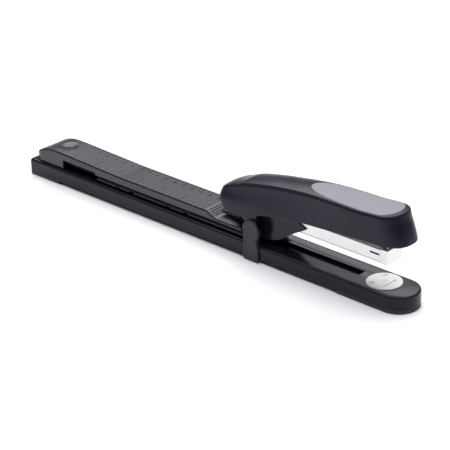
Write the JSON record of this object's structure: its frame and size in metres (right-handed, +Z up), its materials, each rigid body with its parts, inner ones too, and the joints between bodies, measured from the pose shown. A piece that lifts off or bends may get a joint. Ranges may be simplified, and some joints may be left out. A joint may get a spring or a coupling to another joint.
{
  "type": "long-arm stapler",
  "caption": "Long-arm desk stapler with a ruler arm, sprung head, front-loading staple tray, swivelling anvil and sliding paper stop.",
  "frame": {"origin": "middle of the base on the surface that the feet stand on", "axes": "+X towards the head and anvil end, +Z up, +Y to the left of someone who looks along +X"},
  "size_m": [0.412, 0.0388, 0.0792],
  "materials": {
    "black_enamel": "gloss black stoved enamel",
    "black_gloss": "gloss moulded, slightly textured",
    "black_satin": "satin moulded",
    "grip_grey": "soft-touch grey",
    "nickel": "bright nickel plate",
    "zinc": "zinc plated",
    "spring_steel": "oiled spring steel",
    "staple_wire": "galvanised wire",
    "stop_grey": "fine matte texture",
    "scale_print": "moulded marks",
    "foot_rubber": "matte"
  },
  "bodies": {
    "base": {"base_channel": "black_enamel", "front_foot": "foot_rubber", "rear_foot": "foot_rubber", "foot_screws": "zinc", "hinge_bracket": "zinc", "bracket_rivets": "zinc", "hinge_pin": "zinc", "arm_spring": "spring_steel"},
    "anvil": {"anvil_plate": "nickel", "anvil_spring": "spring_steel", "anvil_clip": "spring_steel"},
    "arm": {"arm_cover": "black_satin", "arm_channel": "black_enamel", "cm_marks": "scale_print", "inch_marks": "scale_print", "arm_screws": "zinc", "head_bracket": "black_enamel", "head_rivets": "zinc", "head_pin": "zinc", "magazine_spring": "spring_steel"},
    "magazine": {"magazine_housing": "nickel", "latch_rivets": "zinc", "latch_springs": "spring_steel", "handle_spring": "spring_steel"},
    "latch": {"release_latch": "black_satin"},
    "tray": {"staple_tray": "nickel", "tray_front": "nickel", "staple_strip": "staple_wire", "pusher_rod": "zinc", "pusher_spring": "spring_steel"},
    "pusher": {"staple_pusher": "black_satin"},
    "handle": {"handle_cover": "black_gloss", "grip_pad": "grip_grey", "handle_frame": "zinc", "handle_screw": "zinc", "driver_blade": "nickel", "driver_rivet": "zinc"},
    "stop": {"paper_stop": "stop_grey", "stop_spring": "spring_steel"}
  },
  "joints": [
    {"name": "arm_hinge", "type": "hinge", "parent": "base", "child": "arm", "pos_m": [-0.188, 0, 0.0205], "axis": [0, 1, 0], "range_deg": [0, 0.45], "stiffness_Nm_per_rad": 40, "springref_deg": -3.44},
    {"name": "magazine_pivot", "type": "hinge", "parent": "arm", "child": "magazine", "pos_m": [0.05, 0, 0.0395], "axis": [0, 1, 0], "range_deg": [0, 7], "stiffness_Nm_per_rad": 2, "springref_deg": -14.32, "deforming": ["magazine_spring"]},
    {"name": "handle_pivot", "type": "hinge", "parent": "magazine", "child": "handle", "pos_m": [0.05, 0, 0.0395], "axis": [0, 1, 0], "range_deg": [0, 4], "stiffness_Nm_per_rad": 3, "springref_deg": -8.59, "deforming": ["handle_spring"]},
    {"name": "tray_slide", "type": "slide", "parent": "magazine", "child": "tray", "axis": [-1, 0, 0], "range_m": [-0.1, 0]},
    {"name": "pusher_slide", "type": "slide", "parent": "tray", "child": "pusher", "axis": [-1, 0, 0], "range_m": [0, 0.045], "stiffness_N_per_m": 40, "springref_m": -0.02, "deforming": ["pusher_spring"]},
    {"name": "latch_press", "type": "slide", "parent": "magazine", "child": "latch", "axis": [0, 0, -1], "range_m": [0, 0.0016], "stiffness_N_per_m": 800, "springref_m": -0.002, "deforming": ["latch_springs"]},
    {"name": "anvil_turn", "type": "hinge", "parent": "base", "child": "anvil", "pos_m": [0.175, 0, 0.0145], "axis": [0, 0, 1], "range_deg": [0, 180]},
    {"name": "stop_slide", "type": "slide", "parent": "base", "child": "stop", "axis": [1, 0, 0], "range_m": [-0.2, 0.07]}
  ]
}
